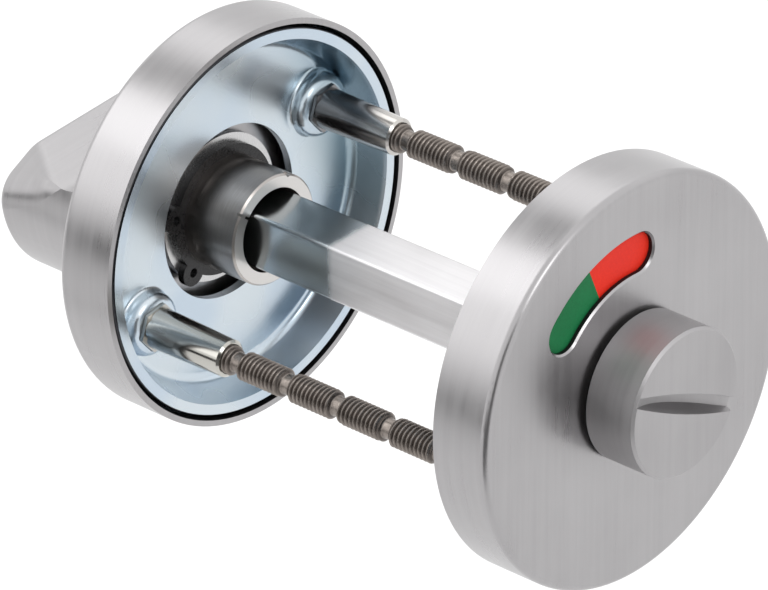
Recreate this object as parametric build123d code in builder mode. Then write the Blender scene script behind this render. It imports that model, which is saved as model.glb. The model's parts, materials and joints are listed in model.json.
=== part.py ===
"""Bathroom thumb turn lock: an inside half with a thumb turn and an outside half with a coin
release and a red and green indicator, joined by a square spindle and two break-off bolts.

The lock axis is Y. The outside face looks along -Y, the thumb turn points along +Y, and +Z is
up through the middle of the indicator window. The origin is on the axis, half way between the
two rims, where the middle of the door lies. Depths are measured outward from each half's rim.
"""

import os
from math import cos, radians, sin

from build123d import *

os.makedirs("parts", exist_ok=True)

INSIDE = 1
OUTSIDE = -1

# Driving dimensions, in mm and degrees
door_gap = 56.4
gap_travel = 9.0

cover_diameter = 56.0
cover_depth = 8.8
cover_sheet = 0.8
cover_edge_radius = 1.0
cover_rim_chamfer = 0.3

window_radius = 18.0
window_width = 5.5
window_span = 49.5
window_angle = 90.0
window_bevel = 0.25

rose_plate_depth = 5.2
rose_plate = 1.2
rose_hole_share = 0.6
rose_hole_inset = 4.7
rose_wall_lean = 1.7
rose_corner_radius = 1.4
rose_band_width = 1.4
rose_band_recess = 0.2
rose_rim_depth = 4.6
shadow_gap = 0.75
shadow_gap_depth = 1.5
rim_thread_interference = 0.01

boss_radius = 4.4
boss_height = 2.4
boss_top = 1.2
boss_edge_radius = 1.4
boss_root_radius = 0.6
pocket_radius = 3.6

bolt_edge_distance = 9.0
bolt_line_angle = 8.5
bolt_diameter = 4.0
bolt_hole_clearance = 0.2
bolt_head_diameter = 6.9
bolt_head_height = 2.4
bolt_recess_width = 1.1
bolt_recess_length = 4.4
bolt_recess_depth = 1.4
bolt_engagement = 8.0
neck_diameter = 2.7
neck_length = 2.0
neck_bevel = 0.35
neck_pitch = 8.8
neck_count = 5
bolt_tip_to_neck = 9.8

sleeve_reach = 10.4
sleeve_base_diameter = 5.7
sleeve_tip_diameter = 5.1
sleeve_bore_clearance = 0.05
sleeve_flange_diameter = 6.9
sleeve_flange = 1.2
sleeve_hexagon = 5.8
sleeve_collar = 0.5
sleeve_tip_chamfer = 0.3
hexagon_clearance = 0.05
hexagon_turn = 12.0

shaft_diameter = 15.4
shaft_reach = 2.9
shaft_clearance = 0.08
shaft_bore_diameter = 11.7
shaft_bore_depth = 7.0
shaft_edge_chamfer = 0.25
slit_angle = 121.0
slit_width = 0.35
slit_depth = 0.6
pit_angle = 45.0
pit_diameter = 0.9

spindle_side = 8.0
spindle_corner_radius = 0.5
spindle_end_chamfer = 0.35
spindle_corner_angle = 113.7
spindle_clearance = 0.05
turn_socket_depth = 16.0
release_bore_depth = 1.5
release_socket_depth = 13.2
spindle_end_margin = 0.6

washer_outer_radius = 10.3
steel_washer = 1.0
nylon_washer = 0.6
nylon_outer_radius = 9.3
axial_play = 0.1

circlip_thickness = 1.0
circlip_groove_depth = 0.6
circlip_band = 2.0
circlip_lug_hole = 1.3
circlip_lug_foot = 0.3
circlip_room = 0.9
circlip_lug_spread = 30.0
circlip_gap_angle = 176.0

grip_diameter = 32.0
grip_end_depth = 32.0
grip_flat_offset = 5.5
grip_flat_angle = 73.0
grip_collar = 4.6
grip_runout_radius = 6.0
grip_edge_radius = 0.9
grip_straight_edge = 2.4
grip_facet_inset_slope = 0.7
grip_facet_drop_slope = 0.34
grip_facet_margin = 1.3
grip_facet_radius = 4.5

knob_diameter = 20.2
knob_end_depth = 17.2
knob_bevel = 0.35
slot_angle = 135.0
slot_width = 1.3
slot_flare = 0.26
slot_offset = 1.15
slot_rim_depth = 0.5
slot_middle_depth = 2.8

disc_diameter = 44.0
disc_sheet = 0.6
disc_flats = 13.4
colour_sheet = 0.25
colour_inner_radius = 13.5
colour_sweep = 86.0

# Sizes that follow from the driving ones
cover_radius = cover_diameter / 2
cover_inner_radius = cover_radius - cover_sheet
inner_face_depth = cover_depth - cover_sheet
shaft_radius = shaft_diameter / 2
shaft_hole_radius = shaft_radius + shaft_clearance
rose_hole_radius = cover_radius * rose_hole_share - rose_hole_inset
circlip_lug_inner = shaft_radius - circlip_groove_depth + circlip_lug_foot
circlip_lug_outer = rose_hole_radius - circlip_room
circlip_lug_centre = (circlip_lug_outer + circlip_lug_inner) / 2
circlip_lug_radius = (circlip_lug_outer - circlip_lug_inner) / 2
bolt_circle_radius = cover_radius - bolt_edge_distance
boss_root = boss_radius + 2 * boss_root_radius
rose_back_depth = rose_plate_depth + rose_plate
boss_face_depth = rose_plate_depth - boss_height
pocket_floor_depth = boss_face_depth + boss_top
grip_base_depth = cover_depth + axial_play + nylon_washer
steel_washer_depth = inner_face_depth - axial_play - steel_washer
disc_depth = inner_face_depth - axial_play - colour_sheet - disc_sheet
release_washer_depth = disc_depth - steel_washer
socket_side = spindle_side + 2 * spindle_clearance
face_normal_angle = spindle_corner_angle - 45.0
spindle_far_depth = release_socket_depth - gap_travel - spindle_end_margin


def seat_plane(outward, depth=0.0):
    """Plane across the axis at a depth; its z points away from the door and its y is up."""
    return Plane(
        origin=(0, outward * (door_gap / 2 + depth), 0),
        x_dir=(-outward, 0, 0),
        z_dir=(0, outward, 0),
    )


def section_plane(outward, x=0.0, z=0.0):
    """Plane along the axis through (x, z); its x is a radius and its y is the depth."""
    return Plane(
        origin=(x, outward * door_gap / 2, z),
        x_dir=(-outward, 0, 0),
        z_dir=(0, 0, -1),
    )


def face_on(outward, angle):
    """Turns an angle seen from outside, from +X towards +Z, into the angle in a seat plane."""
    return angle if outward == OUTSIDE else 180.0 - angle


def bolt_centre(index):
    """The x and z of one fixing bolt; the two stand on opposite sides of the axis."""
    angle = radians(bolt_line_angle + 180.0 * index)
    return bolt_circle_radius * cos(angle), bolt_circle_radius * sin(angle)


def save(piece, label):
    """Names a finished piece and writes it as its own file."""
    piece.part.label = label
    export_step(piece.part, f"parts/{label}.step")


def make_cover(outward, with_window):
    """Drawn sheet cup that hides the rose; the shaft turns in its middle hole."""
    with BuildPart() as cover:
        with BuildSketch(section_plane(outward)) as section:
            with BuildLine():
                Polyline(
                    (shaft_hole_radius, cover_depth),
                    (cover_radius, cover_depth),
                    (cover_radius, 0),
                    (cover_inner_radius, 0),
                    (cover_inner_radius, inner_face_depth),
                    (shaft_hole_radius, inner_face_depth),
                    close=True,
                )
            make_face()
            outer_wall = section.vertices().group_by(Axis.X)[-1]
            inner_wall = section.vertices().group_by(Axis.X)[-2]
            fillet(outer_wall.sort_by(Axis.Y)[-1], cover_edge_radius)
            fillet(inner_wall.sort_by(Axis.Y)[-1], cover_edge_radius - cover_sheet)
            chamfer(inner_wall.sort_by(Axis.Y)[0], cover_rim_chamfer)
        revolve(axis=Axis.Y)
        if with_window:
            face = seat_plane(outward, cover_depth)
            with BuildSketch(face):
                SlotArc(window_arc, window_width)
            extrude(amount=-cover_sheet, mode=Mode.SUBTRACT)
            window_edges = cover.edges(Select.LAST).filter_by_position(
                Axis.Y, face.origin.Y - window_bevel, face.origin.Y + window_bevel
            )
            chamfer(window_edges, window_bevel)
    return cover


def make_rose(outward, hexagonal):
    """Pressed steel rose with two raised bosses; its rim thread holds the cover."""
    thread_radius = cover_inner_radius + rim_thread_interference
    band_outer = cover_inner_radius - shadow_gap
    band_inner = band_outer - rose_band_width
    wall_foot = band_inner - rose_wall_lean
    with BuildPart() as rose:
        with BuildSketch(section_plane(outward)) as section:
            with BuildLine():
                Polyline(
                    (rose_hole_radius, rose_plate_depth),
                    (wall_foot, rose_plate_depth),
                    (band_inner, rose_band_recess),
                    (band_outer, rose_band_recess),
                    (band_outer, rose_band_recess + shadow_gap_depth),
                    (thread_radius, rose_band_recess + shadow_gap_depth + shadow_gap),
                    (thread_radius, rose_rim_depth),
                    (band_inner, rose_rim_depth),
                    (wall_foot + rose_plate, rose_back_depth),
                    (rose_hole_radius, rose_back_depth),
                    close=True,
                )
            make_face()
            foot = section.vertices().sort_by_distance((wall_foot, rose_plate_depth))[0]
            fillet(foot, rose_corner_radius)
        revolve(axis=Axis.Y)
        for centre_x, centre_z in (bolt_centre(0), bolt_centre(1)):
            with BuildSketch(section_plane(outward, centre_x, centre_z)) as boss:
                with BuildLine():
                    Polyline(
                        (0, boss_face_depth),
                        (boss_radius, boss_face_depth),
                        (boss_radius, rose_plate_depth),
                        (boss_root, rose_plate_depth),
                        (boss_root, rose_plate_depth + rose_plate / 2),
                        (0, rose_plate_depth + rose_plate / 2),
                        close=True,
                    )
                make_face()
                fillet(boss.vertices().sort_by_distance((boss_radius, 0))[0], boss_edge_radius)
                inner_corner = boss.vertices().sort_by_distance((boss_radius, rose_plate_depth))[0]
                fillet(inner_corner, boss_root_radius)
            revolve(axis=Axis((centre_x, 0, centre_z), (0, 1, 0)))
        with BuildSketch(seat_plane(outward, pocket_floor_depth)):
            with Locations(*bolt_points(outward)):
                Circle(pocket_radius)
        extrude(amount=rose_back_depth - pocket_floor_depth, mode=Mode.SUBTRACT)
        with BuildSketch(seat_plane(outward, boss_face_depth)):
            with Locations(*bolt_points(outward)):
                if hexagonal:
                    RegularPolygon(
                        sleeve_hexagon / 2 + hexagon_clearance,
                        6,
                        major_radius=False,
                        rotation=hexagon_turn,
                    )
                else:
                    Circle(bolt_diameter / 2 + bolt_hole_clearance)
        extrude(amount=boss_top, mode=Mode.SUBTRACT)
    return rose


def bolt_points(outward):
    """Both bolt centres in the coordinates of a half's seat plane."""
    return [(-outward * x, z) for x, z in (bolt_centre(0), bolt_centre(1))]


def make_washer(outward, depth, thickness, outer_radius):
    """Flat washer on a shaft."""
    with BuildPart() as washer:
        with BuildSketch(seat_plane(outward, depth)):
            Circle(outer_radius)
            Circle(shaft_hole_radius, mode=Mode.SUBTRACT)
        extrude(amount=thickness)
    return washer


def make_circlip(outward, depth):
    """External retaining ring with two eyed lugs at its open ends."""
    groove_radius = shaft_radius - circlip_groove_depth
    gap_reach = groove_radius + 2 * circlip_band
    middle = face_on(outward, circlip_gap_angle)
    with BuildPart() as circlip:
        with BuildSketch(seat_plane(outward, depth)):
            Circle(groove_radius + circlip_band)
            with Locations(Location((0, 0, 0), (0, 0, middle))):
                Triangle(
                    a=gap_reach,
                    b=gap_reach,
                    C=2 * circlip_lug_spread,
                    align=Align.NONE,
                    rotation=-circlip_lug_spread,
                    mode=Mode.SUBTRACT,
                )
            with PolarLocations(
                circlip_lug_centre, 2, middle - circlip_lug_spread, 4 * circlip_lug_spread
            ):
                Circle(circlip_lug_radius)
                Circle(circlip_lug_hole / 2, mode=Mode.SUBTRACT)
            Circle(groove_radius, mode=Mode.SUBTRACT)
        extrude(amount=circlip_thickness)
    return circlip


def cut_groove(outward, depth):
    """Cuts the retaining ring's groove round the shaft being built."""
    with BuildSketch(seat_plane(outward, depth)) as groove:
        Circle(shaft_radius + circlip_band)
        Circle(shaft_radius - circlip_groove_depth, mode=Mode.SUBTRACT)
    extrude(groove.sketch, amount=circlip_thickness, mode=Mode.SUBTRACT)


def cut_socket(outward, bore_depth, socket_depth):
    """Cuts the spindle's round lead-in and square socket into the shaft being built."""
    with BuildSketch(seat_plane(outward, -shaft_reach)) as lead_in:
        Circle(shaft_bore_diameter / 2)
    extrude(lead_in.sketch, amount=bore_depth, mode=Mode.SUBTRACT)
    with BuildSketch(seat_plane(outward, -shaft_reach)) as socket:
        Rectangle(socket_side, socket_side, rotation=face_on(outward, face_normal_angle))
    extrude(socket.sketch, amount=shaft_reach + socket_depth, mode=Mode.SUBTRACT)


# Covers and roses
window_arc = CenterArc((0, 0), window_radius, window_angle - window_span / 2, window_span)

inside_cover = make_cover(INSIDE, with_window=False)
save(inside_cover, "inside_cover")
outside_cover = make_cover(OUTSIDE, with_window=True)
save(outside_cover, "outside_cover")

inside_rose = make_rose(INSIDE, hexagonal=True)
save(inside_rose, "inside_rose")
outside_rose = make_rose(OUTSIDE, hexagonal=False)
save(outside_rose, "outside_rose")

# Threaded sleeves, riveted into the inside rose's bosses
for index in range(2):
    centre_x, centre_z = bolt_centre(index)
    sleeve_axis = Axis((centre_x, 0, centre_z), (0, 1, 0))
    bore_radius = bolt_diameter / 2 + sleeve_bore_clearance
    with BuildPart() as sleeve:
        with BuildSketch(section_plane(INSIDE, centre_x, centre_z)):
            with BuildLine():
                Polyline(
                    (bore_radius, pocket_floor_depth + sleeve_flange),
                    (sleeve_flange_diameter / 2, pocket_floor_depth + sleeve_flange),
                    (sleeve_flange_diameter / 2, pocket_floor_depth),
                    (sleeve_base_diameter / 2, pocket_floor_depth),
                    (sleeve_tip_diameter / 2, sleeve_tip_chamfer - sleeve_reach),
                    (sleeve_tip_diameter / 2 - sleeve_tip_chamfer, -sleeve_reach),
                    (bore_radius, -sleeve_reach),
                    close=True,
                )
            make_face()
        revolve(axis=sleeve_axis)
        with BuildSketch(seat_plane(INSIDE, boss_face_depth - sleeve_collar)):
            with Locations(bolt_points(INSIDE)[index]):
                RegularPolygon(
                    sleeve_hexagon / 2, 6, major_radius=False, rotation=hexagon_turn
                )
                Circle(bore_radius, mode=Mode.SUBTRACT)
        extrude(amount=boss_top + sleeve_collar)
    save(sleeve, f"sleeve_nut_{index + 1}")

# Break-off bolts: each neck is where the bolt is snapped to suit a thinner door
bolt_tip_depth = -door_gap + sleeve_reach - bolt_engagement
for index in range(2):
    centre_x, centre_z = bolt_centre(index)
    bolt_axis = Axis((centre_x, 0, centre_z), (0, 1, 0))
    bolt_radius = bolt_diameter / 2
    neck_radius = neck_diameter / 2
    outline = [
        (0, pocket_floor_depth + bolt_head_height),
        (bolt_head_diameter / 2, pocket_floor_depth + bolt_head_height),
        (bolt_head_diameter / 2, pocket_floor_depth),
        (bolt_radius, pocket_floor_depth),
    ]
    first_neck = bolt_tip_depth + bolt_tip_to_neck
    for step in reversed(range(neck_count)):
        neck_top = first_neck + step * neck_pitch + neck_length / 2
        neck_foot = neck_top - neck_length
        outline += [
            (bolt_radius, neck_top),
            (neck_radius, neck_top - neck_bevel),
            (neck_radius, neck_foot + neck_bevel),
            (bolt_radius, neck_foot),
        ]
    outline += [
        (bolt_radius, bolt_tip_depth + neck_bevel),
        (neck_radius, bolt_tip_depth),
        (0, bolt_tip_depth),
    ]
    with BuildPart() as bolt:
        with BuildSketch(section_plane(OUTSIDE, centre_x, centre_z)):
            with BuildLine():
                Polyline(*outline, close=True)
            make_face()
        revolve(axis=bolt_axis)
        with BuildSketch(seat_plane(OUTSIDE, pocket_floor_depth + bolt_head_height)):
            with Locations(bolt_points(OUTSIDE)[index]):
                Rectangle(bolt_recess_length, bolt_recess_width)
                Rectangle(bolt_recess_width, bolt_recess_length)
        extrude(amount=-bolt_recess_depth, mode=Mode.SUBTRACT)
    save(bolt, f"break_bolt_{index + 1}")

# Thumb turn: grip, shaft and spindle socket in one turned piece
flat_normal = radians(grip_flat_angle)
flat_plane = Plane(
    origin=(0, door_gap / 2, 0),
    x_dir=(cos(flat_normal), 0, sin(flat_normal)),
    z_dir=(-sin(flat_normal), 0, cos(flat_normal)),
)
grip_radius = grip_diameter / 2
flat_foot = grip_base_depth + grip_collar
facet_depth = flat_foot + grip_runout_radius + grip_straight_edge
flat_half_width = (grip_radius**2 - grip_flat_offset**2) ** 0.5
facet_length = grip_end_depth - facet_depth
facet_inset = facet_length * grip_facet_inset_slope
facet_low_offset = grip_flat_offset - facet_length * grip_facet_drop_slope
facet_low_half_width = (grip_radius**2 - facet_low_offset**2) ** 0.5
with BuildPart() as thumb_turn:
    with BuildSketch(section_plane(INSIDE)):
        with BuildLine():
            Polyline(
                (0, grip_end_depth),
                (grip_radius, grip_end_depth),
                (grip_radius, grip_base_depth),
                (shaft_radius, grip_base_depth),
                (shaft_radius, shaft_edge_chamfer - shaft_reach),
                (shaft_radius - shaft_edge_chamfer, -shaft_reach),
                (0, -shaft_reach),
                close=True,
            )
        make_face()
    revolve(axis=Axis.Y)
    with BuildSketch(flat_plane) as flat_section:
        with BuildLine():
            Polyline(
                (grip_flat_offset, flat_foot),
                (grip_radius + grip_collar, flat_foot),
                (grip_radius + grip_collar, grip_end_depth + grip_collar),
                (grip_flat_offset, grip_end_depth + grip_collar),
                close=True,
            )
        make_face()
        foot = flat_section.vertices().sort_by_distance((grip_flat_offset, flat_foot))[0]
        fillet(foot, grip_runout_radius)
    extrude(amount=grip_radius, both=True, mode=Mode.SUBTRACT)
    facet_edges = ShapeList()
    for side in (-1, 1):
        corners = [
            flat_plane.from_local_coords(corner)
            for corner in (
                (grip_flat_offset, facet_depth, side * flat_half_width),
                (grip_flat_offset, grip_end_depth, side * (flat_half_width - facet_inset)),
                (facet_low_offset, grip_end_depth, side * facet_low_half_width),
            )
        ]
        facing = side * (corners[1] - corners[0]).cross(corners[2] - corners[0])
        middle = sum(corners, Vector()) / len(corners)
        reach = (corners[0] - middle).length + grip_facet_margin
        with BuildSketch(Plane(origin=middle, z_dir=facing)):
            Circle(reach)
        extrude(amount=reach, mode=Mode.SUBTRACT)
        facet = thumb_turn.faces().sort_by_distance(middle)[0]
        facet_edges += facet.edges().sort_by(Axis.Y)[:-1]
    fillet(facet_edges, grip_facet_radius)
    rims = thumb_turn.edges().filter_by(GeomType.CIRCLE).filter_by(
        lambda edge: abs(edge.radius - grip_radius) < grip_edge_radius / 2
    )
    fillet(rims.group_by(Axis.Y)[0] + thumb_turn.edges().group_by(Axis.Y)[-1], grip_edge_radius)
    cut_groove(INSIDE, steel_washer_depth - circlip_thickness)
    cut_socket(INSIDE, shaft_bore_depth, turn_socket_depth)
    wall_middle = (shaft_radius + shaft_bore_diameter / 2) / 2
    with BuildSketch(seat_plane(INSIDE, -shaft_reach)):
        with PolarLocations(wall_middle, 1, face_on(INSIDE, slit_angle)):
            Rectangle(shaft_radius, slit_width)
    extrude(amount=slit_depth, mode=Mode.SUBTRACT)
    with BuildSketch(seat_plane(INSIDE, -shaft_reach)):
        with PolarLocations(shaft_radius, 1, face_on(INSIDE, pit_angle)):
            Circle(pit_diameter / 2)
    extrude(amount=pit_diameter, mode=Mode.SUBTRACT)
save(thumb_turn, "thumb_turn")

turn_nylon_washer = make_washer(
    INSIDE, grip_base_depth - nylon_washer, nylon_washer, nylon_outer_radius
)
save(turn_nylon_washer, "turn_nylon_washer")
turn_steel_washer = make_washer(
    INSIDE, steel_washer_depth, steel_washer, washer_outer_radius
)
save(turn_steel_washer, "turn_steel_washer")
turn_circlip = make_circlip(INSIDE, steel_washer_depth - circlip_thickness)
save(turn_circlip, "turn_circlip")

# Square spindle, from the bottom of the thumb turn's socket into the release knob's
spindle_length = turn_socket_depth + door_gap + spindle_far_depth
with BuildPart() as spindle:
    with BuildSketch(seat_plane(INSIDE, turn_socket_depth)):
        RectangleRounded(
            spindle_side,
            spindle_side,
            spindle_corner_radius,
            rotation=face_on(INSIDE, face_normal_angle),
        )
    extrude(amount=-spindle_length)
    ends = spindle.faces().filter_by(Axis.Y)
    chamfer(ends.edges(), spindle_end_chamfer)
save(spindle, "spindle")

# Release knob, turned from outside with a coin
knob_radius = knob_diameter / 2
slot_sagitta = slot_middle_depth - slot_rim_depth
cutter_radius = (knob_radius**2 + slot_sagitta**2) / (2 * slot_sagitta)
cutter_rise = cutter_radius - slot_middle_depth
slot_direction = radians(slot_angle)
cutter_plane = Plane(
    origin=(
        -slot_offset * cos(slot_direction),
        OUTSIDE * (door_gap / 2 + knob_end_depth + cutter_rise),
        -slot_offset * sin(slot_direction),
    ),
    x_dir=(0, -OUTSIDE, 0),
    z_dir=(cos(slot_direction), 0, sin(slot_direction)),
)
cutter_axis = Axis(
    cutter_plane.origin, (-sin(slot_direction), 0, cos(slot_direction))
)
with BuildPart() as release_knob:
    with BuildSketch(section_plane(OUTSIDE)):
        with BuildLine():
            Polyline(
                (0, knob_end_depth),
                (knob_radius - knob_bevel, knob_end_depth),
                (knob_radius, knob_end_depth - knob_bevel),
                (knob_radius, grip_base_depth),
                (shaft_radius, grip_base_depth),
                (shaft_radius, shaft_edge_chamfer - shaft_reach),
                (shaft_radius - shaft_edge_chamfer, -shaft_reach),
                (0, -shaft_reach),
                close=True,
            )
        make_face()
    revolve(axis=Axis.Y)
    with BuildSketch(seat_plane(OUTSIDE, -shaft_reach)):
        Circle(shaft_radius + circlip_band)
        Rectangle(
            disc_flats,
            2 * (shaft_radius + circlip_band),
            rotation=face_on(OUTSIDE, face_normal_angle),
            mode=Mode.SUBTRACT,
        )
    extrude(amount=shaft_reach + inner_face_depth - axial_play, mode=Mode.SUBTRACT)
    cut_groove(OUTSIDE, release_washer_depth - circlip_thickness)
    cut_socket(OUTSIDE, release_bore_depth, release_socket_depth)
    with BuildSketch(cutter_plane):
        with BuildLine():
            Polyline(
                (cutter_radius, -slot_width / 2),
                (cutter_radius, slot_width / 2),
                (0, slot_width / 2 + slot_flare * cutter_radius),
                (0, -slot_width / 2 - slot_flare * cutter_radius),
                close=True,
            )
        make_face()
    revolve(axis=cutter_axis, mode=Mode.SUBTRACT)
save(release_knob, "release_knob")

release_nylon_washer = make_washer(
    OUTSIDE, grip_base_depth - nylon_washer, nylon_washer, nylon_outer_radius
)
save(release_nylon_washer, "release_nylon_washer")
release_steel_washer = make_washer(
    OUTSIDE, release_washer_depth, steel_washer, washer_outer_radius
)
save(release_steel_washer, "release_steel_washer")
release_circlip = make_circlip(OUTSIDE, release_washer_depth - circlip_thickness)
save(release_circlip, "release_circlip")

# Indicator: a steel disc keyed on the shaft's flats, with a red and a green sector on its face
with BuildPart() as indicator_disc:
    with BuildSketch(seat_plane(OUTSIDE, disc_depth)):
        Circle(disc_diameter / 2)
        with BuildSketch(Plane.XY, mode=Mode.SUBTRACT):
            Circle(shaft_hole_radius)
            Rectangle(
                disc_flats + 2 * shaft_clearance,
                disc_diameter,
                rotation=face_on(OUTSIDE, face_normal_angle),
                mode=Mode.INTERSECT,
            )
    extrude(amount=disc_sheet)
save(indicator_disc, "indicator_disc")

for name, sector_start in (
    ("indicator_red", window_angle - colour_sweep),
    ("indicator_green", window_angle),
):
    first = radians(sector_start)
    middle = radians(sector_start + colour_sweep / 2)
    last = radians(sector_start + colour_sweep)
    outer = disc_diameter / 2
    with BuildPart() as sector:
        with BuildSketch(seat_plane(OUTSIDE, disc_depth + disc_sheet)):
            with BuildLine():
                start_inner = (colour_inner_radius * cos(first), colour_inner_radius * sin(first))
                end_inner = (colour_inner_radius * cos(last), colour_inner_radius * sin(last))
                start_outer = (outer * cos(first), outer * sin(first))
                end_outer = (outer * cos(last), outer * sin(last))
                Line(start_inner, start_outer)
                ThreePointArc(start_outer, (outer * cos(middle), outer * sin(middle)), end_outer)
                Line(end_outer, end_inner)
                ThreePointArc(
                    end_inner,
                    (colour_inner_radius * cos(middle), colour_inner_radius * sin(middle)),
                    start_inner,
                )
            make_face()
        extrude(amount=colour_sheet)
    save(sector, name)
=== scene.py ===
"""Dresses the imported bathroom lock: its finishes, its real threads, the studio and the camera.

Everything is in metres, in the lock's own frame. The lock axis is Y, the indicator face looks
along -Y, the thumb turn points along +Y, and +Z is up through the middle of the indicator window.
Angles round the axis are seen from outside, from +X towards +Z.
"""

from __future__ import annotations

import json
import logging
import math
from dataclasses import dataclass, field
from enum import Enum
from typing import Sequence

import bpy
import numpy as np
from mathutils import Matrix, Vector


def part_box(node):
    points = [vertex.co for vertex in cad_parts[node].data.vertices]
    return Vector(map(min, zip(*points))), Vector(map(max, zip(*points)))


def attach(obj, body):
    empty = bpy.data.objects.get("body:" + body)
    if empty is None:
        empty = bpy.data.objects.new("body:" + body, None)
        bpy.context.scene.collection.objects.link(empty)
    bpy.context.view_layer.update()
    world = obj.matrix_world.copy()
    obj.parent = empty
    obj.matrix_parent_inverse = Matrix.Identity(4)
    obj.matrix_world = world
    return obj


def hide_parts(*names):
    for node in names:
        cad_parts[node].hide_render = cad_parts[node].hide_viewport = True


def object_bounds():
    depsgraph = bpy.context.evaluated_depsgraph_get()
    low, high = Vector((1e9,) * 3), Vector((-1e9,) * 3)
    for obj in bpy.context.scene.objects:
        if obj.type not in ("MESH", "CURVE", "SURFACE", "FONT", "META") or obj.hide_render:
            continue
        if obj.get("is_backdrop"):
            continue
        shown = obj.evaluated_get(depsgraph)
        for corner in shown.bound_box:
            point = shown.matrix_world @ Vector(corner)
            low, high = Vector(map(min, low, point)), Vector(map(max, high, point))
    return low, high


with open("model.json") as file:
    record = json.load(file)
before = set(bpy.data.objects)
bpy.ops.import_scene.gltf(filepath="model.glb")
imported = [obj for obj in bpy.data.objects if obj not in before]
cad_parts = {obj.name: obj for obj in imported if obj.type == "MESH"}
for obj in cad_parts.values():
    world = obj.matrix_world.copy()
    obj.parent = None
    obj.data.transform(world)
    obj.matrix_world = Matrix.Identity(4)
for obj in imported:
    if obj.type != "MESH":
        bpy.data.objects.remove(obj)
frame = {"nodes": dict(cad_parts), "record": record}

LOG = logging.getLogger("lock")
MM = 0.001
RISE = (0.0, 1.0)
FALL = (1.0, 0.0)
BARE_METAL = 1.0
MATT = 0.9

Colour = tuple[float, float, float]
Place = tuple[float, float, float]
Socket = bpy.types.NodeSocket


class Half(Enum):
    """The two halves of the lock, by the way their faces look along Y."""

    INSIDE = 1
    OUTSIDE = -1


class Grain(Enum):
    """How a steel surface was worked."""

    BRUSHED = "straight lines on the face, round the edge elsewhere"
    TURNED = "rings round the lock axis"
    DRAWN = "lines along the lock axis"


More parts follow.
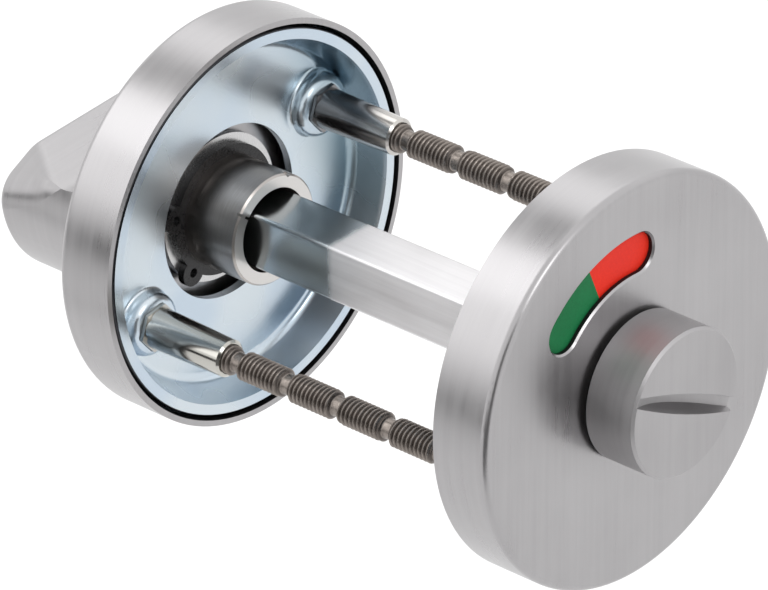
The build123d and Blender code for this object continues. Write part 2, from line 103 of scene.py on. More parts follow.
class ShaderGraph:
    """Builds one material's nodes, with places read in millimetres."""

    def __init__(self, name: str) -> None:
        """Starts a material with one surface shader.

        Args:
            name: The material's name.
        """
        self.material = bpy.data.materials.new(name)
        self.material.use_nodes = True
        self.tree = self.material.node_tree
        self.tree.nodes.clear()
        output = self.add("ShaderNodeOutputMaterial")
        self.shader = self.add("ShaderNodeBsdfPrincipled")
        self.tree.links.new(self.shader.outputs["BSDF"], output.inputs["Surface"])
        self.coordinates = self.add("ShaderNodeTexCoord")

    def add(self, kind: str) -> bpy.types.Node:
        """Adds one node of a kind and returns it."""
        return self.tree.nodes.new(kind)

    def feed(self, target: Socket, value: Socket | float | Colour | Vector) -> None:
        """Links a socket or sets a plain value.

        Args:
            target: The input that gets the value.
            value: Another node's output, a number, a colour or a vector.
        """
        if isinstance(value, bpy.types.NodeSocket):
            self.tree.links.new(value, target)
        elif isinstance(value, tuple) and len(target.default_value) > len(value):
            target.default_value = (*value, 1.0)
        else:
            target.default_value = value

    def calc(self, operation: str, first: Socket | float, second: Socket | float = 0.0) -> Socket:
        """Works out one number from one or two others.

        Args:
            operation: The arithmetic, as the math node names it.
            first: The first number.
            second: The second number, where the arithmetic has one.

        Returns:
            The result's socket.
        """
        node = self.add("ShaderNodeMath")
        node.operation = operation
        self.feed(node.inputs[0], first)
        self.feed(node.inputs[1], second)
        return node.outputs[0]

    def place(self, scale: Place, turn_about_axis: float = 0.0) -> Socket:
        """The point on the piece, in millimetres, stretched and turned for a pattern.

        Args:
            scale: Pattern units per millimetre along X, Y and Z.
            turn_about_axis: Degrees that the pattern is turned about Y before the stretch.

        Returns:
            The vector's socket.
        """
        turned = self.add("ShaderNodeVectorRotate")
        turned.rotation_type = "Y_AXIS"
        self.feed(turned.inputs["Vector"], self.coordinates.outputs["Object"])
        self.feed(turned.inputs["Angle"], math.radians(turn_about_axis))
        stretched = self.add("ShaderNodeVectorMath")
        stretched.operation = "MULTIPLY"
        self.feed(stretched.inputs[0], turned.outputs["Vector"])
        self.feed(stretched.inputs[1], Vector([value / MM for value in scale]))
        return stretched.outputs["Vector"]

    def noise(self, where: Socket, detail: float = 3.0, roughness: float = 0.5) -> Socket:
        """Smooth random values from about 0.3 to 0.7 over a place.

        Args:
            where: The pattern's place.
            detail: How many finer layers lie over the first.
            roughness: How strong those layers are.

        Returns:
            The value's socket.
        """
        node = self.add("ShaderNodeTexNoise")
        self.feed(node.inputs["Vector"], where)
        self.feed(node.inputs["Scale"], 1.0)
        self.feed(node.inputs["Detail"], detail)
        self.feed(node.inputs["Roughness"], roughness)
        return node.outputs[0]

    def spread(self, value: Socket, source: Sequence[float], target: Sequence[float]) -> Socket:
        """Moves a value from one range to another, easing into both ends.

        Args:
            value: The value to move.
            source: Its lowest and highest value.
            target: What those become.

        Returns:
            The new value's socket.
        """
        node = self.add("ShaderNodeMapRange")
        node.interpolation_type = "SMOOTHSTEP"
        self.feed(node.inputs["Value"], value)
        self.feed(node.inputs["From Min"], float(source[0]))
        self.feed(node.inputs["From Max"], float(source[1]))
        self.feed(node.inputs["To Min"], float(target[0]))
        self.feed(node.inputs["To Max"], float(target[1]))
        return node.outputs[0]

    def blend(self, share: Socket | float, first: Socket | Colour, second: Socket | Colour) -> Socket:
        """Mixes two colours.

        Args:
            share: How much of the second colour shows.
            first: The first colour.
            second: The second colour.

        Returns:
            The mixed colour's socket.
        """
        node = self.add("ShaderNodeMix")
        node.data_type = "RGBA"
        self.feed(node.inputs[0], share)
        self.feed(node.inputs[6], first)
        self.feed(node.inputs[7], second)
        return node.outputs[2]

    def choose(self, share: Socket, first: Socket | float, second: Socket | float) -> Socket:
        """Mixes two numbers, as blend does colours."""
        node = self.add("ShaderNodeMix")
        self.feed(node.inputs[0], share)
        self.feed(node.inputs[2], first)
        self.feed(node.inputs[3], second)
        return node.outputs[0]

    def axis_value(self, output: str, axis: str) -> Socket:
        """One coordinate of the place or of the normal, in metres or as a share.

        Args:
            output: The coordinate set, "Object" or "Normal".
            axis: X, Y or Z.

        Returns:
            The number's socket.
        """
        node = self.add("ShaderNodeSeparateXYZ")
        self.feed(node.inputs[0], self.coordinates.outputs[output])
        return node.outputs[axis]

    def along(self, direction: Place) -> Socket:
        """The place along a direction, in metres."""
        node = self.add("ShaderNodeVectorMath")
        node.operation = "DOT_PRODUCT"
        self.feed(node.inputs[0], self.coordinates.outputs["Object"])
        self.feed(node.inputs[1], Vector(direction))
        return node.outputs["Value"]

    def radius(self) -> Socket:
        """The distance from the piece's own Y axis, in metres."""
        across = self.axis_value("Object", "X")
        up = self.axis_value("Object", "Z")
        squares = self.calc("ADD", self.calc("MULTIPLY", across, across), self.calc("MULTIPLY", up, up))
        return self.calc("SQRT", squares)

    def relief(self, height: Socket, depth_mm: float, strength: float = 1.0) -> None:
        """Gives the surface a fine relief.

        Args:
            height: The pattern that stands up.
            depth_mm: How deep it is.
            strength: How much of it counts.
        """
        node = self.add("ShaderNodeBump")
        self.feed(node.inputs["Height"], height)
        self.feed(node.inputs["Distance"], depth_mm * MM)
        self.feed(node.inputs["Strength"], strength)
        self.feed(self.shader.inputs["Normal"], node.outputs["Normal"])

    def surface(self, colour: Socket | Colour, roughness: Socket | float, metallic: float) -> None:
        """Sets the shader's colour, roughness and metal share.

        Args:
            colour: The base colour.
            roughness: The roughness.
            metallic: 1 for bare metal, 0 for paint and plastic.
        """
        self.feed(self.shader.inputs["Base Color"], colour)
        self.feed(self.shader.inputs["Roughness"], roughness)
        self.feed(self.shader.inputs["Metallic"], metallic)

    def matt(self, grey: Colour) -> None:
        """Makes the surface plain, matt and without any shine."""
        self.surface(grey, MATT, 0.0)
        self.feed(self.shader.inputs["Specular IOR Level"], 0.0)


@dataclass(frozen=True)
class SatinSteel:
    """Stainless steel with a fine satin grain."""

    colour: Colour = (0.415, 0.406, 0.412)
    shade: Colour = (0.355, 0.346, 0.352)
    roughness: float = 0.31
    roughness_swing: float = 0.06
    grain: Grain = Grain.BRUSHED
    grain_angle: float = 66.5
    lines_per_mm: float = 7.0
    line_changes_per_mm: float = 0.10
    line_share: float = 0.35
    bands_per_mm: float = 0.9
    band_changes_per_mm: float = 0.03
    band_share: float = 0.65
    clouds_per_mm: float = 0.07
    wear_range: Sequence[float] = (0.28, 0.72)
    face_on: Sequence[float] = (0.7, 0.9)
    relief_mm: float = 0.0022
    relief_strength: float = 0.6

    def lines(self, graph: ShaderGraph, per_mm: float, along: float) -> Socket:
        """The grain's lines at one fineness.

        Args:
            graph: The material being built.
            per_mm: Lines per millimetre across the grain.
            along: Changes per millimetre along the grain.

        Returns:
            The pattern's socket.
        """
        rings = graph.noise(graph.place((along, per_mm, along)))
        if self.grain is Grain.TURNED:
            return rings
        if self.grain is Grain.DRAWN:
            return graph.noise(graph.place((per_mm, along, per_mm)))
        straight = graph.noise(graph.place((along, along, per_mm), self.grain_angle))
        facing = graph.calc("ABSOLUTE", graph.axis_value("Normal", "Y"))
        return graph.choose(graph.spread(facing, self.face_on, RISE), rings, straight)

    def refine(
        self, graph: ShaderGraph, colour: Socket, roughness: Socket
    ) -> tuple[Socket, Socket]:
        """Changes the steel where a piece was worked differently; plain steel stays as it is.

        Args:
            graph: The material being built.
            colour: The steel's colour.
            roughness: The steel's roughness.

        Returns:
            The colour and the roughness that the piece wears.
        """
        return colour, roughness

    def build(self, name: str) -> bpy.types.Material:
        """Makes the material.

        Args:
            name: The material's name.

        Returns:
            The finished material.
        """
        graph = ShaderGraph(name)
        fine = self.lines(graph, self.lines_per_mm, self.line_changes_per_mm)
        bands = self.lines(graph, self.bands_per_mm, self.band_changes_per_mm)
        clouds = graph.noise(graph.place((self.clouds_per_mm,) * 3))
        tone = graph.calc(
            "ADD",
            graph.calc("MULTIPLY", fine, self.line_share),
            graph.calc("MULTIPLY", bands, self.band_share),
        )
        worn = graph.calc("MULTIPLY", graph.calc("ADD", tone, clouds), 0.5)
        colour = graph.blend(graph.spread(worn, self.wear_range, RISE), self.shade, self.colour)
        swing = (self.roughness - self.roughness_swing, self.roughness + self.roughness_swing)
        roughness = graph.spread(worn, self.wear_range, swing)
        graph.surface(*self.refine(graph, colour, roughness), BARE_METAL)
        graph.relief(graph.calc("ADD", fine, bands), self.relief_mm, self.relief_strength)
        return graph.material


@dataclass(frozen=True)
class CoverSteel(SatinSteel):
    """Satin steel whose walls inside the cup and round the window are rougher and carry painted shade:
    near-black that stands for the shadow in the gap.
    """

    # painted shade: near-black that stands in for the shadow on the walls in the gap and round the
    # window
    painted_shade_wall_colour: Colour = (0.045, 0.043, 0.045)
    wall_radius_mm: float = 27.3
    wall_blur_mm: float = 0.05
    wall_roughness: float = 0.55
    wall_facing: Sequence[float] = (0.35, 0.5)

    def refine(
        self, graph: ShaderGraph, colour: Socket, roughness: Socket
    ) -> tuple[Socket, Socket]:
        """Darkens the walls that lie inside the skirt with painted shade.

        Args:
            graph: The material being built.
            colour: The steel's colour.
            roughness: The steel's roughness.

        Returns:
            The colour and the roughness with the walls in them.
        """
        facing = graph.calc("ABSOLUTE", graph.axis_value("Normal", "Y"))
        upright = graph.spread(facing, self.wall_facing, FALL)
        limit, blur = self.wall_radius_mm * MM, self.wall_blur_mm * MM
        within = graph.spread(graph.radius(), (limit - blur, limit + blur), FALL)
        # mask of the walls inside the skirt that get the painted shade
        wall = graph.calc("MULTIPLY", upright, within)
        return (
            graph.blend(wall, colour, self.painted_shade_wall_colour),
            graph.choose(wall, roughness, self.wall_roughness),
        )


@dataclass(frozen=True)
class GripSteel(SatinSteel):
    """Satin steel whose shaft, under the cover, carries painted shade with turned tool marks, and whose
    end face is painted lighter.
    """

    grain: Grain = Grain.TURNED
    # painted shade for the shaft inside the rose, and a lighter painted colour for its end face, picked
    # by its facing
    shaded_shaft_colour: Colour = (0.28, 0.255, 0.24)
    lit_end_colour: Colour = (0.61, 0.595, 0.58)
    shaft_limit: float = 0.0
    shaft_side: float = 1.0
    shaft_roughness: float = 0.30
    shaft_blur_mm: float = 0.2
    tool_marks_per_mm: Place = (0.4, 9.0, 0.4)
    tool_mark_gain: float = 1.5
    lit_end_facing: Sequence[float] = (0.6, 0.9)

    def refine(
        self, graph: ShaderGraph, colour: Socket, roughness: Socket
    ) -> tuple[Socket, Socket]:
        """Gives the shaft painted shade with turned tool marks, and paints its end face lighter where
        it faces along the axis.

        Args:
            graph: The material being built.
            colour: The steel's colour.
            roughness: The steel's roughness.

        Returns:
            The colour and the roughness with the shaft in them.
        """
        outward = graph.calc("MULTIPLY", graph.axis_value("Object", "Y"), self.shaft_side)
        edge = (self.shaft_limit - self.shaft_blur_mm * MM, self.shaft_limit)
        hidden = graph.spread(outward, edge, FALL)
        facing = graph.calc("ABSOLUTE", graph.axis_value("Normal", "Y"))
        tool_marks = graph.noise(graph.place(self.tool_marks_per_mm))
        lighter = tuple(self.tool_mark_gain * part for part in self.shaded_shaft_colour)
        dark = graph.blend(tool_marks, self.shaded_shaft_colour, lighter)
        # the end face, facing along the axis, gets painted light; the side keeps the painted shade
        shaft = graph.blend(graph.spread(facing, self.lit_end_facing, RISE), dark, self.lit_end_colour)
        return (
            graph.blend(hidden, colour, shaft),
            graph.choose(hidden, roughness, self.shaft_roughness),
        )


@dataclass(frozen=True)
class SpindleSteel(SatinSteel):
    """Drawn bar, smoother where it enters the shaft and painted darker and bluish there, a painted
    reflection of the zinc rose with painted shade; lighter beyond.
    """

    grain: Grain = Grain.DRAWN
    # painted reflection of the zinc rose, with painted shade, on the bar near the shaft
    painted_rose_reflection_colour: Colour = (0.54, 0.58, 0.60)
    near_shaft_roughness: float = 0.20
    near_shaft_from_mm: float = 11.5
    near_shaft_blur_mm: float = 1.6
    wander_per_mm: Place = (0.5, 0.2, 0.5)

    def refine(
        self, graph: ShaderGraph, colour: Socket, roughness: Socket
    ) -> tuple[Socket, Socket]:
        """Paints the reflection of the rose and the shade on the bar near the shaft.

        Args:
            graph: The material being built.
            colour: The steel's colour away from the shaft.
            roughness: The steel's roughness away from the shaft.

        Returns:
            The colour and the roughness with the painted reflection and shade near the shaft in them.
        """
        wander = graph.calc("MULTIPLY", graph.noise(graph.place(self.wander_per_mm)), MM)
        along = graph.calc("ADD", graph.axis_value("Object", "Y"), wander)
        limit = (self.near_shaft_from_mm * MM, (self.near_shaft_from_mm + self.near_shaft_blur_mm) * MM)
        # share of the painted reflection and shade, rising towards the shaft
        rose_reflection_share = graph.spread(along, limit, RISE)
        return (
            graph.blend(rose_reflection_share, colour, self.painted_rose_reflection_colour),
            graph.choose(rose_reflection_share, roughness, self.near_shaft_roughness),
        )


@dataclass(frozen=True)
class PlatedSteel:
    """Steel with a bright plating whose tint wanders, painted darker towards its shade colour along one
    way inside a radius, as painted shade.
    """

    colour: Colour = (0.50, 0.58, 0.66)
    tint: Colour = (0.60, 0.66, 0.70)
    # the colour that the painted shade darkens towards, along the fade way and inside the fade radius
    shade: Colour = (0.19, 0.28, 0.33)
    fade_axis: Place = (0.99, 0.0, -0.14)
    fade_mm: Sequence[float] = (11.0, 23.0)
    fade_share: float = 0.66
    fade_radius_mm: float = 24.9
    fade_blur_mm: float = 0.1
    fade_swing: Sequence[float] = (0.7, 1.3)
    swing_range: Sequence[float] = (0.3, 0.7)
    tint_range: Sequence[float] = (0.38, 0.62)
    roughness: Sequence[float] = (0.20, 0.30)
    roughness_range: Sequence[float] = (0.35, 0.65)
    cloud_mm: float = 16.0
    waves_per_mm: float = 0.11
    relief_mm: float = 0.10

    def build(self, name: str) -> bpy.types.Material:
        """Makes the material.

        Args:
            name: The material's name.

        Returns:
            The finished material.
        """
        graph = ShaderGraph(name)
        cloud = graph.noise(graph.place((1 / self.cloud_mm,) * 3), 2.0)
        colour = graph.blend(graph.spread(cloud, self.tint_range, RISE), self.colour, self.tint)
        limits = [self.fade_mm[0] * MM, self.fade_mm[1] * MM]
        # painted shade: darker along the fade way, only inside the fade radius
        faded = graph.spread(graph.along(self.fade_axis), limits, (0.0, self.fade_share))
        rim = [(self.fade_radius_mm + side * self.fade_blur_mm) * MM for side in (-1, 1)]
        inside = graph.calc("MULTIPLY", faded, graph.spread(graph.radius(), rim, FALL))
        swing = graph.spread(cloud, self.swing_range, self.fade_swing)
        graph.surface(
            graph.blend(graph.calc("MULTIPLY", inside, swing), colour, self.shade),
            graph.spread(cloud, self.roughness_range, self.roughness),
            BARE_METAL,
        )
        graph.relief(graph.noise(graph.place((self.waves_per_mm,) * 3), 1.0), self.relief_mm)
        return graph.material


@dataclass(frozen=True)
class ThreadSteel:
    """Bare threaded steel, with painted shade darkening the roots of the thread."""

    crest: Colour = (0.29, 0.255, 0.23)
    # painted shade for the roots of the thread
    root_shade_colour: Colour = (0.10, 0.086, 0.078)
    crest_radius_mm: float = 2.0
    root_radius_mm: float = 1.55
    neck_radius_mm: float = 1.4
    neck_blur_mm: float = 0.08
    stains_per_mm: float = 0.5
    stain_range: Sequence[float] = (0.3, 0.7)
    stain_depth: Sequence[float] = (0.6, 1.0)
    grit_per_mm: float = 6.0
    roughness: Sequence[float] = (0.25, 0.45)
    relief_mm: float = 0.008
    relief_strength: float = 0.6

    def build(self, name: str) -> bpy.types.Material:
        """Makes the material.

        Args:
            name: The material's name.

        Returns:
            The finished material.
        """
        graph = ShaderGraph(name)
        heights = (self.root_radius_mm * MM, self.crest_radius_mm * MM)
        crests = graph.spread(graph.radius(), heights, RISE)
        neck = (self.neck_radius_mm * MM, (self.neck_radius_mm + self.neck_blur_mm) * MM)
        height = graph.calc("MAXIMUM", crests, graph.spread(graph.radius(), neck, FALL))
        stain = graph.noise(graph.place((self.stains_per_mm,) * 3), 4.0, 0.6)
        grit = graph.noise(graph.place((self.grit_per_mm,) * 3), 2.0)
        depth = graph.spread(stain, self.stain_range, self.stain_depth)
        graph.surface(
            # painted shade in the roots, deepened where the stains lie
            graph.blend(graph.calc("MULTIPLY", height, depth), self.root_shade_colour, self.crest),
            graph.spread(grit, self.stain_range, self.roughness),
            BARE_METAL,
        )
        graph.relief(grit, self.relief_mm, self.relief_strength)
        return graph.material


@dataclass(frozen=True)
class Coating:
    """Paint, phosphate or nylon: a coloured surface with a faint texture."""

    colour: Colour
    shade: Colour
    roughness: float = 0.4
    metallic: float = 0.0
    gloss: float = 0.5
    grain_mm: float = 0.35
    patches_per_mm: float = 0.12
    tone_range: Sequence[float] = (0.35, 0.65)
    roughness_swing: Sequence[float] = (-0.06, 0.08)
    relief_mm: float = 0.006
    relief_strength: float = 0.5

    def build(self, name: str) -> bpy.types.Material:
        """Makes the material.

        Args:
            name: The material's name.

        Returns:
            The finished material.
        """
        graph = ShaderGraph(name)
        fine = graph.noise(graph.place((1 / self.grain_mm,) * 3), 3.0, 0.6)
        broad = graph.noise(graph.place((self.patches_per_mm,) * 3), 2.0)
        tone = graph.calc("MULTIPLY", graph.calc("ADD", fine, broad), 0.5)
        colour = graph.blend(graph.spread(tone, self.tone_range, RISE), self.shade, self.colour)
        swing = [self.roughness + change for change in self.roughness_swing]
        graph.surface(colour, graph.spread(tone, self.tone_range, swing), self.metallic)
        graph.feed(graph.shader.inputs["Specular IOR Level"], self.gloss)
        graph.relief(fine, self.relief_mm, self.relief_strength)
        return graph.material


@dataclass
class Wardrobe:
    """The finishes by the record's slots, and who wears them."""

    cover_depth: float
    rim_place: float
    materials: dict[str, bpy.types.Material] = field(default_factory=dict)

    def sew(self) -> None:
        """Makes every finish once."""
        limit = self.rim_place + self.cover_depth
        finishes = {
            "satin_steel": CoverSteel(),
            "grip_steel": GripSteel(shaft_limit=limit, shaft_side=1.0),
            # the knob's neck under the cover gets the same painted shade and painted lighter end
            "knob_steel": GripSteel(
                grain=Grain.BRUSHED,
                grain_angle=66.5,
                colour=(0.43, 0.42, 0.426),
                roughness=0.48,
                shaft_limit=limit,
                shaft_side=-1.0,
            ),
            # the rose's zinc gets painted shade inside its rim towards +X
            "zinc_plate": PlatedSteel(),
            # near-black zinc: painted shade for the thread deep in the gap under the cover rim
            "painted_shade_zinc": PlatedSteel(
                colour=(0.10, 0.10, 0.11), tint=(0.16, 0.16, 0.17), roughness=(0.30, 0.45)
            ),
            # sleeve nickel painted darker towards the rose end along Y, as painted shade
            "nickel_plate": PlatedSteel(
                colour=(0.46, 0.45, 0.42),
                tint=(0.54, 0.53, 0.49),
                shade=(0.40, 0.395, 0.38),
                fade_axis=(0.0, 1.0, 0.0),
                fade_mm=(22.0, 33.0),
                roughness=(0.14, 0.22),
            ),
            # painted shade and dark reflection: near-black towards the rose end of the first sleeve
            "shaded_base_nickel": PlatedSteel(
                colour=(0.50, 0.48, 0.46),
                tint=(0.58, 0.56, 0.53),
                shade=(0.19, 0.19, 0.195),
                fade_axis=(0.0, 1.0, 0.0),
                fade_mm=(19.0, 24.5),
                fade_share=1.0,
                roughness=(0.14, 0.22),
            ),
            "spindle_steel": SpindleSteel(
                colour=(0.80, 0.79, 0.80),
                shade=(0.66, 0.65, 0.66),
                roughness=0.40,
                roughness_swing=0.08,
                lines_per_mm=4.0,
                relief_mm=0.003,
            ),
            "washer_steel": SatinSteel(
                colour=(0.62, 0.62, 0.62), shade=(0.52, 0.52, 0.52), roughness=0.28
            ),
            "black_steel": Coating(
                (0.035, 0.034, 0.035), (0.015, 0.015, 0.016), 0.30, 0.6, relief_mm=0.002
            ),
            "dull_bolt": ThreadSteel(),
            "nylon": Coating((0.035, 0.035, 0.035), (0.022, 0.022, 0.022), 0.5),
            "red_enamel": Coating((0.70, 0.030, 0.014), (0.62, 0.020, 0.010), 0.45, gloss=0.15),
            "green_enamel": Coating((0.012, 0.150, 0.052), (0.008, 0.120, 0.040), 0.45, gloss=0.15),
        }
        self.materials = {name: finish.build(name) for name, finish in finishes.items()}

    def dress(self, piece: bpy.types.Object, finish: str) -> None:
        """Puts one finish on a whole piece."""
        piece.data.materials.clear()
        piece.data.materials.append(self.materials[finish])

    def dress_nodes(self, own: dict[str, str]) -> None:
        """Gives each carried-over node the finish of its slot.

        Args:
            own: Finishes for nodes that don't wear their slot's plain one.
        """
        for part in frame["record"]["subparts"]:
            node = part["node"]
            self.dress(frame["nodes"][node], own.get(node, part["material_slot"]))
            LOG.info("dressed %s", node)


def mesh_piece(name: str, points: np.ndarray, faces: Sequence[Sequence[int]]) -> bpy.types.Object:
    """Makes a smooth mesh object.

    Args:
        name: The piece's name.
        points: Its corners, one row each, in metres.
        faces: The corners of each face.

    Returns:
        The new object, linked to the scene.
    """
    data = bpy.data.meshes.new(name)
    data.from_pydata([tuple(point) for point in points], [], [tuple(face) for face in faces])
    data.validate()
    data.polygons.foreach_set("use_smooth", [True] * len(data.polygons))
    data.update()
    piece = bpy.data.objects.new(name, data)
    bpy.context.scene.collection.objects.link(piece)
    return piece


def lathe_faces(rows: int, around: int, closed: bool) -> list[tuple[int, ...]]:
    """The faces of a grid of rings about an axis.

    Args:
        rows: How many rings there are.
        around: How many corners each ring has.
        closed: Whether the last ring joins the first, as on a torus.

    Returns:
        The faces, and caps on both ends where the grid isn't closed.
    """
    faces: list[tuple[int, ...]] = []
    for row in range(rows if closed else rows - 1):
        here, above = row * around, (row + 1) % rows * around
        for step in range(around):
            following = (step + 1) % around
            faces.append((here + step, here + following, above + following, above + step))
    if not closed:
        faces.append(tuple(reversed(range(around))))
        faces.append(tuple((rows - 1) * around + step for step in range(around)))
    return faces


@dataclass
class BreakBolt:
    """One fixing bolt with its thread and the necks where it is snapped."""

    number: int
    around: int = 40
    steps_per_turn: int = 9
    pitch: float = 0.7 * MM
    thread_depth: float = 0.43 * MM
    crest_flat: float = 0.125
    root_flat: float = 0.25
    radius: float = 2.0 * MM
    neck_radius: float = 1.35 * MM
    neck_length: float = 2.0 * MM
    neck_bevel: float = 0.35 * MM
    neck_pitch: float = 8.8 * MM
    neck_count: int = 5
    tip_to_neck: float = 9.8 * MM
    head_height: float = 2.4 * MM
    head_edge: float = 0.35 * MM
    recess_depth: float = 1.4 * MM
    recess_width: float = 1.1 * MM
    recess_length: float = 4.4 * MM
    head_rings: int = 14
    head_middle: float = 0.02 * MM

    def envelope(self, from_tip: np.ndarray) -> np.ndarray:
        """The largest radius at each distance from the tip, before the thread is cut."""
        waist = self.radius - self.neck_radius
        radius = np.minimum(self.radius, self.neck_radius + waist * from_tip / self.neck_bevel)
        for step in range(self.neck_count):
            off = np.abs(from_tip - self.tip_to_neck - step * self.neck_pitch)
            rise = (off - self.neck_length / 2 + self.neck_bevel) / self.neck_bevel
            flare = self.neck_radius + np.clip(rise, 0.0, 1.0) * waist
            radius = np.minimum(radius, flare)
        return radius

    def thread(self, from_tip: np.ndarray, angle: np.ndarray) -> np.ndarray:
        """The thread's radius at each distance from the tip and angle.

        Args:
            from_tip: Distances from the tip.
            angle: Angles round the bolt, in radians.

        Returns:
            The radius of the thread's flanks, crests and roots.
        """
        wave = np.abs(2 * np.mod(from_tip / self.pitch + angle / math.tau, 1.0) - 1)
        cut = (1 - self.crest_flat - wave) / (1 - self.crest_flat - self.root_flat)
        return self.radius - self.thread_depth * np.clip(cut, 0.0, 1.0)

    def head_face(self, radius: float, angle: np.ndarray) -> np.ndarray:
        """How deep the cross recess is at one ring of the head's face."""
        across, up = radius * np.cos(angle), radius * np.sin(angle)
        depth = np.zeros_like(angle)
        for one, other in ((across, up), (up, across)):
            inside = (np.abs(one) < self.recess_width / 2) & (np.abs(other) < self.recess_length / 2)
            depth = np.where(inside, self.recess_depth, depth)
        return depth

    def build(self, wardrobe: Wardrobe) -> bpy.types.Object:
        """Builds the bolt in place of its plain node.

        Args:
            wardrobe: The finishes.

        Returns:
            The bolt.
        """
        node = f"break_bolt_{self.number}"
        low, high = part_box(node)
        centre = (low + high) / 2
        head_radius = (high.x - low.x) / 2
        shank = high.y - low.y - self.head_height
        angle = np.arange(self.around) * math.tau / self.around
        rows: list[np.ndarray] = []

        def ring(radius: np.ndarray | float, from_tip: np.ndarray | float) -> None:
            """Adds one ring of corners."""
            radius = np.broadcast_to(radius, angle.shape)
            along = np.broadcast_to(from_tip, angle.shape)
            circle = [radius * np.cos(angle), high.y - along, radius * np.sin(angle)]
            rows.append(np.stack(circle, axis=1))

        for from_tip in np.linspace(0.0, shank, round(shank / self.pitch * self.steps_per_turn)):
            place = np.full_like(angle, from_tip)
            ring(np.minimum(self.envelope(place), self.thread(place, angle)), from_tip)
        ring(head_radius - self.head_edge, shank)
        ring(head_radius, shank + self.head_edge)
        ring(head_radius, shank + self.head_height - self.head_edge)
        for radius in np.linspace(head_radius - self.head_edge, self.head_middle, self.head_rings):
            ring(radius, shank + self.head_height - self.head_face(radius, angle))
        bolt = mesh_piece(
            f"threaded_bolt_{self.number}",
            np.concatenate(rows),
            lathe_faces(len(rows), self.around, closed=False),
        )
        bolt.location = (centre.x, 0.0, centre.z)
        wardrobe.dress(bolt, "dull_bolt")
        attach(bolt, "outside_half")
        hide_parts(node)
        LOG.info("built %s, %d faces", bolt.name, len(bolt.data.polygons))
        return bolt


@dataclass
class RimThread:
    """The fine thread on a rose's rim, seen in the gap inside the cover."""

    half: Half
    body: str
    rim_place: float
    root_radius: float = 26.44 * MM
    height: float = 0.20 * MM
    thickness: float = 0.1 * MM
    first_depth: float = 0.40 * MM
    last_depth: float = 1.60 * MM
    pitch: float = 0.40 * MM
    around: int = 300
    steps: int = 25

    def build(self, wardrobe: Wardrobe) -> bpy.types.Object:
        """Builds the thread as one thin ribbed ring.

        Args:
            wardrobe: The finishes.

        Returns:
            The ring.
        """
        side = self.half.value
        angle = np.arange(self.around) * math.tau / self.around
        rows: list[np.ndarray] = []
        depths = np.linspace(self.first_depth, self.last_depth, self.steps)
        outer = [(depth, True) for depth in depths]
        inner = [(depth, False) for depth in depths[::-1]]
        for depth, ribbed in outer + inner:
            wave = np.abs(2 * np.mod(depth / self.pitch + angle / math.tau, 1.0) - 1)
            radius = self.root_radius + (self.height * wave if ribbed else -self.thickness)
            radius = np.broadcast_to(radius, angle.shape)
            along = np.full_like(angle, side * (self.rim_place + depth))
            rows.append(np.stack([radius * np.cos(angle), along, radius * np.sin(angle)], axis=1))
        faces = lathe_faces(len(rows), self.around, closed=True)
        if side < 0:
            faces = [tuple(reversed(face)) for face in faces]
        ring = mesh_piece(f"{self.half.name.lower()}_rim_thread", np.concatenate(rows), faces)
        # the thread wears painted shade, so that the gap reads dark
        wardrobe.dress(ring, "painted_shade_zinc")
        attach(ring, self.body)
        LOG.info("built %s, %d faces", ring.name, len(ring.data.polygons))
        return ring


@dataclass(frozen=True)
class StudioLight:
    """One soft square light: where it hangs, its side and its power in watts."""

    place: Place
    size: float
    watts: float


LIGHTS = {
    "front_light": StudioLight((0.06, -0.77, 0.64), 0.35, 1.2),
    "right_back_light": StudioLight((0.70, 0.58, 0.56), 0.5, 0.62),
    "left_back_light": StudioLight((-0.50, 0.60, 0.62), 0.45, 0.5),
    "top_back_light": StudioLight((-0.08, 0.60, 0.79), 0.45, 1.0),
}


@dataclass(frozen=True)
class StudioCard:
    """One upright card: its middle, size and paleness, and whether it faces the lock."""

    centre: Place
    wide: float
    high: float
    grey: float
    faces_lock: bool = True


CARDS = {
    "side_card": StudioCard((-0.35, -0.28, 0.02), 0.50, 0.28, 0.14),
    "front_card": StudioCard((-0.26, -0.42, 0.27), 0.30, 0.26, 0.05),
    "horizon_strip": StudioCard((-1.566, 1.204, 0.350), 1.30, 0.42, 0.02),
    "high_strip": StudioCard((0.74, 1.20, 1.40), 0.80, 0.46, 0.05),
    "pale_card": StudioCard((1.15, 0.90, 0.31), 1.0, 0.26, 0.85),
    "grip_strip": StudioCard((-0.095, 0.130, -0.024), 0.08, 0.006, 0.04, faces_lock=False),
}


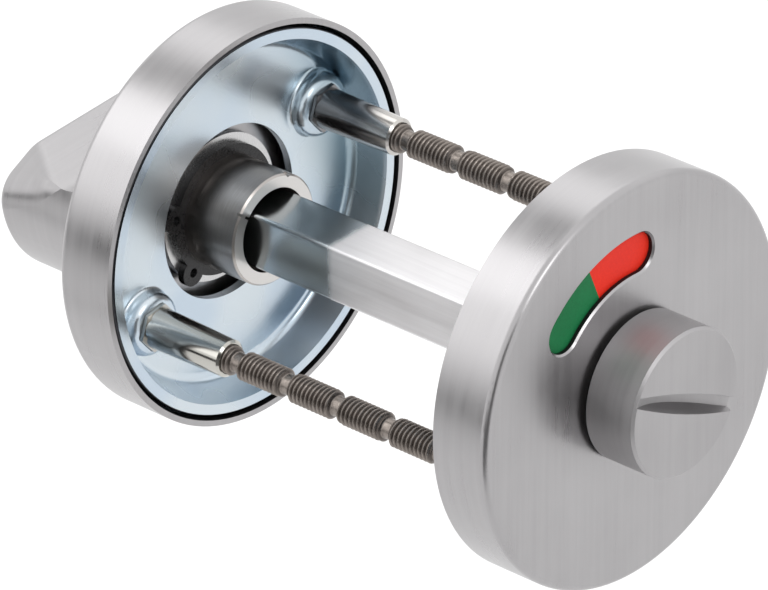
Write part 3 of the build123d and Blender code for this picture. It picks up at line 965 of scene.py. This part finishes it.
@dataclass
class Studio:
    """The pale floor, the soft light and the camera at the photograph's angle."""

    right: Vector = field(default_factory=lambda: Vector((0.6217, -0.7351, -0.2704)))
    forward: Vector = field(default_factory=lambda: Vector((0.4149, 0.6018, -0.6824)))
    distance: float = 1.0256
    focal_pixels: float = 8000.0
    photo_width: float = 768.0
    middle: tuple[float, float] = (384.0, 295.0)
    lock_pixel: tuple[float, float] = (417.5, 290.6)
    sensor: float = 36.0
    floor_drop: float = 0.10
    floor_size: float = 12.0
    floor_colour: Colour = (0.81, 0.81, 0.81)
    sky: float = 1.25
    clip: tuple[float, float] = (0.05, 40.0)

    def place_camera(self) -> bpy.types.Object:
        """Makes the scene's camera.

        Returns:
            The camera object.
        """
        forward = self.forward.normalized()
        right = (self.right - self.right.dot(forward) * forward).normalized()
        down = forward.cross(right)
        aside, below = (
            (pixel - centre) / self.focal_pixels for pixel, centre in zip(self.lock_pixel, self.middle)
        )
        data = bpy.data.cameras.new("camera")
        data.sensor_width = self.sensor
        data.lens = self.focal_pixels * self.sensor / self.photo_width
        data.clip_start, data.clip_end = self.clip
        camera = bpy.data.objects.new("camera", data)
        place = -self.distance * (forward + right * aside + down * below)
        turn = Matrix((right, -down, -forward)).transposed()
        camera.matrix_world = Matrix.Translation(place) @ turn.to_4x4()
        bpy.context.scene.collection.objects.link(camera)
        bpy.context.scene.camera = camera
        return camera

    def lay_floor(self, lowest: float) -> bpy.types.Object:
        """Makes the plain pale floor under the lock.

        Args:
            lowest: The lock's lowest point.

        Returns:
            The floor.
        """
        reach = self.floor_size / 2
        level = lowest - self.floor_drop
        signs = ((-1, -1), (1, -1), (1, 1), (-1, 1))
        corners = np.array([(x * reach, y * reach, level) for x, y in signs])
        floor = mesh_piece("floor", corners, [(0, 1, 2, 3)])
        graph = ShaderGraph("floor")
        graph.matt(self.floor_colour)
        floor.data.materials.append(graph.material)
        floor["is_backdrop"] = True
        return floor

    def hang_light(self, name: str, light: StudioLight) -> None:
        """Hangs one soft light that looks at the lock.

        Args:
            name: The light's name.
            light: Where it hangs, how large and how strong it is.
        """
        data = bpy.data.lights.new(name, "AREA")
        data.shape, data.size, data.energy = "SQUARE", light.size, light.watts
        lamp = bpy.data.objects.new(name, data)
        lamp.location = Vector(light.place)
        lamp.rotation_mode = "QUATERNION"
        lamp.rotation_quaternion = (-Vector(light.place)).to_track_quat("-Z", "Y")
        bpy.context.scene.collection.objects.link(lamp)

    def stand_card(self, name: str, card: StudioCard) -> None:
        """Stands one upright card in the room, seen only as a streak in the metal.

        Args:
            name: The card's name.
            card: Where it stands, how large and how pale it is.
        """
        centre = Vector(card.centre)
        side = Vector((-centre.y, centre.x, 0.0)) if card.faces_lock else Vector((0.0, 1.0, 0.0))
        across = side.normalized() * card.wide / 2
        rise = Vector((0.0, 0.0, card.high / 2))
        low, high = centre - rise, centre + rise
        corners = [low - across, low + across, high + across, high - across]
        board = mesh_piece(name, np.array(corners), [(0, 1, 2, 3)])
        graph = ShaderGraph(name)
        graph.matt((card.grey,) * 3)
        board.data.materials.append(graph.material)
        board.visible_camera = board.visible_diffuse = board.visible_shadow = False
        board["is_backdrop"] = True

    def fill_sky(self) -> None:
        """Fills the room with soft, even light."""
        world = bpy.data.worlds.new("room")
        world.use_nodes = True
        tree = world.node_tree
        background = tree.nodes["Background"]
        background.inputs["Color"].default_value = (1.0, 1.0, 1.0, 1.0)
        background.inputs["Strength"].default_value = self.sky
        bpy.context.scene.world = world

    def build(self) -> None:
        """Builds the whole studio."""
        lowest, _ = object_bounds()
        self.place_camera()
        self.lay_floor(lowest.z)
        self.fill_sky()
        for name, light in LIGHTS.items():
            self.hang_light(name, light)
        for name, card in CARDS.items():
            self.stand_card(name, card)
        bpy.context.scene.view_settings.view_transform = "Standard"
        LOG.info("studio ready")


def main() -> None:
    """Dresses the lock, builds its pieces and sets up the studio."""
    logging.basicConfig(level=logging.INFO, format="%(name)s: %(message)s")
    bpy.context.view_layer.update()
    cover_low, cover_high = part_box("inside_cover")
    wardrobe = Wardrobe(cover_depth=cover_high.y - cover_low.y, rim_place=cover_low.y)
    wardrobe.sew()
    wardrobe.dress_nodes(
        {
            "thumb_turn": "grip_steel",
            "release_knob": "knob_steel",
            # the first sleeve wears painted shade at its base
            "sleeve_nut_1": "shaded_base_nickel",
        }
    )
    for number in (1, 2):
        BreakBolt(number).build(wardrobe)
    RimThread(Half.INSIDE, "inside_half", wardrobe.rim_place).build(wardrobe)
    RimThread(Half.OUTSIDE, "outside_half", wardrobe.rim_place).build(wardrobe)
    Studio().build()


if __name__ == "__main__":
    main()
